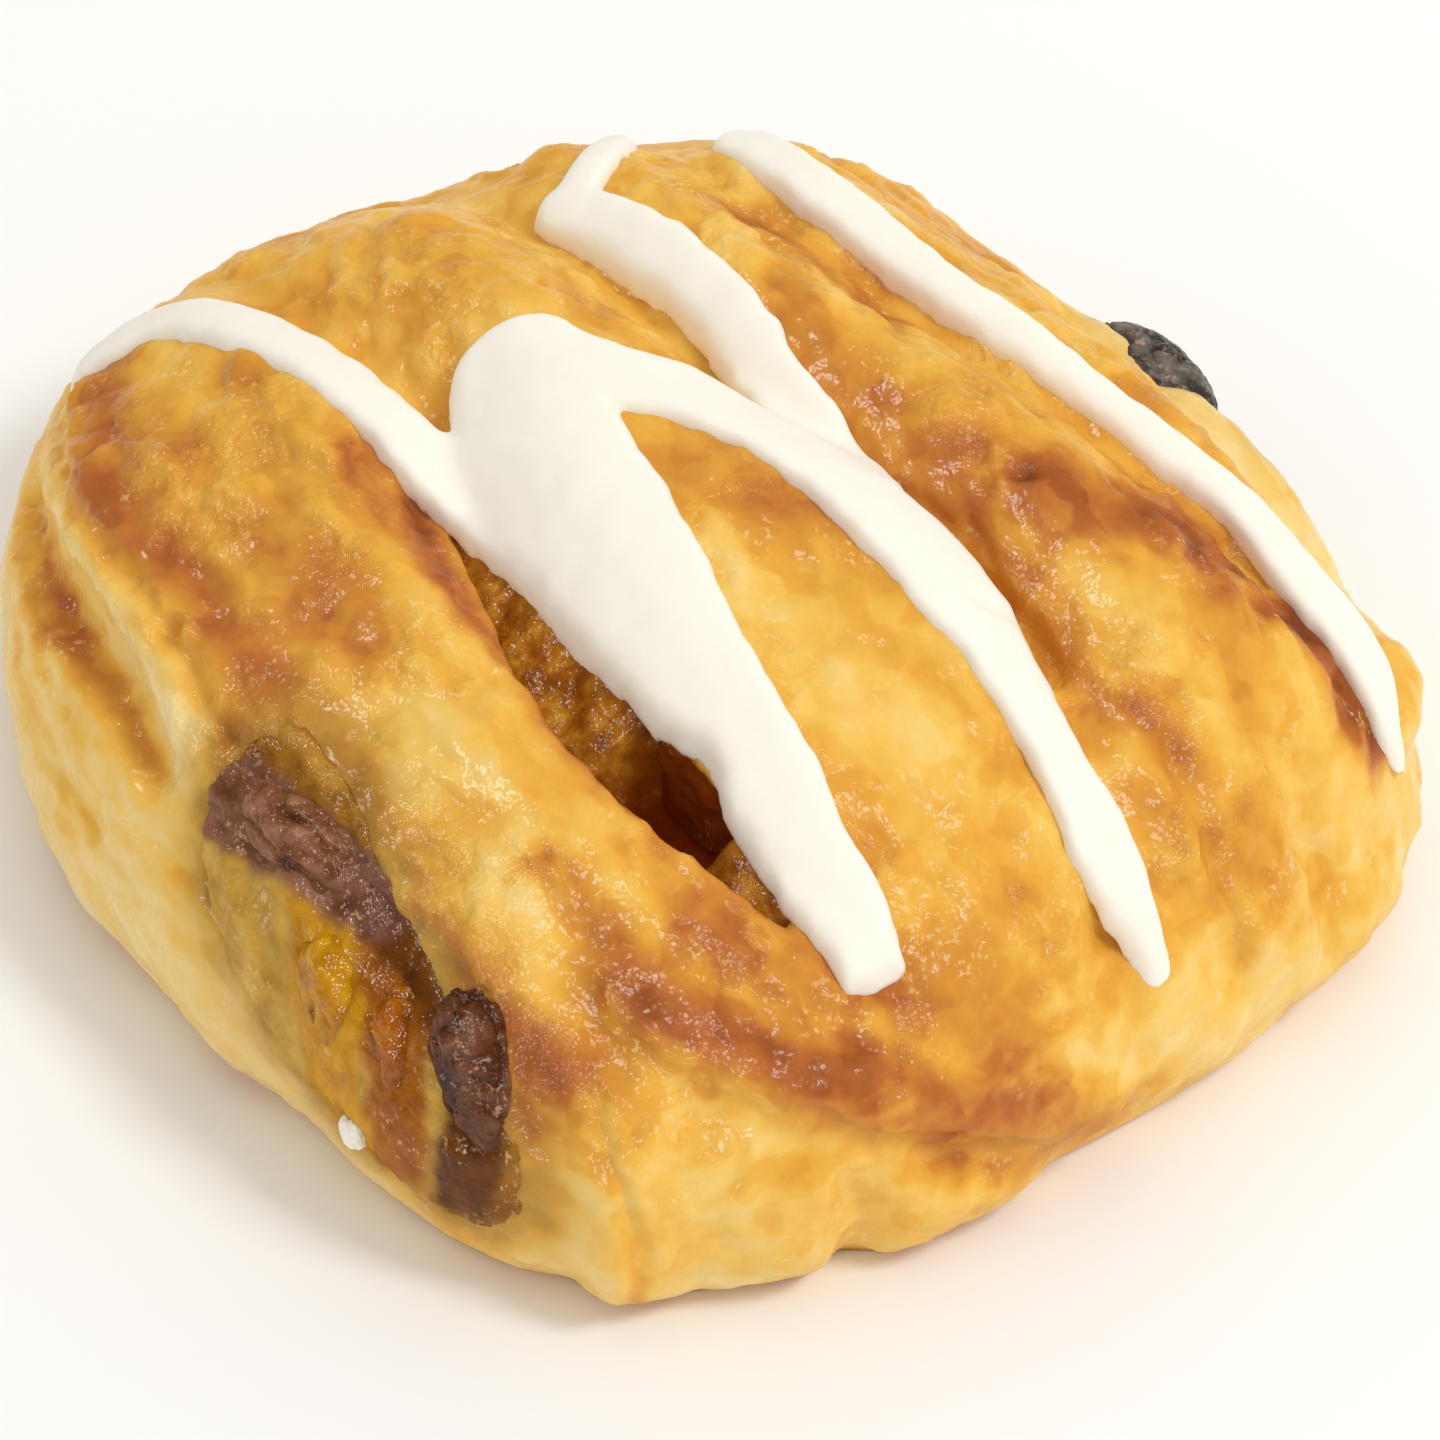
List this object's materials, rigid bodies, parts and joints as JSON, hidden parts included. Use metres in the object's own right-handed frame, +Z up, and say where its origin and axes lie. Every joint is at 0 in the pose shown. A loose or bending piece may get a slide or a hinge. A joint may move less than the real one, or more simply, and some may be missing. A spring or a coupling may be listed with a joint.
{
  "type": "apple danish",
  "caption": "Portion of a slashed danish strip with apple and raisin filling at its cut ends and white icing drizzled across the glazed top.",
  "frame": {"origin": "middle of the flat base, under the middle of the bounding box", "axes": "+Z up; X along the slashes, from one folded side to the other; Y along the strip it was cut from, so the cut faces look along -Y and +Y"},
  "size_m": [0.1049, 0.0952, 0.0354],
  "materials": {
    "crust": "baked laminated dough, egg-washed and glazed",
    "icing": "set white sugar icing, satin",
    "filling": "cooked apple in brown syrup, wet gloss",
    "raisin": "moist wrinkled raisin",
    "apple": "translucent cooked apple"
  },
  "bodies": {
    "root": {"pastry": "crust", "filling": "filling", "raisin_upper": "raisin", "raisin_lower": "raisin", "raisin_rear": "raisin", "apple_amber": "apple", "apple_brown": "apple", "apple_rear": "apple"}
  },
  "joints": []
}
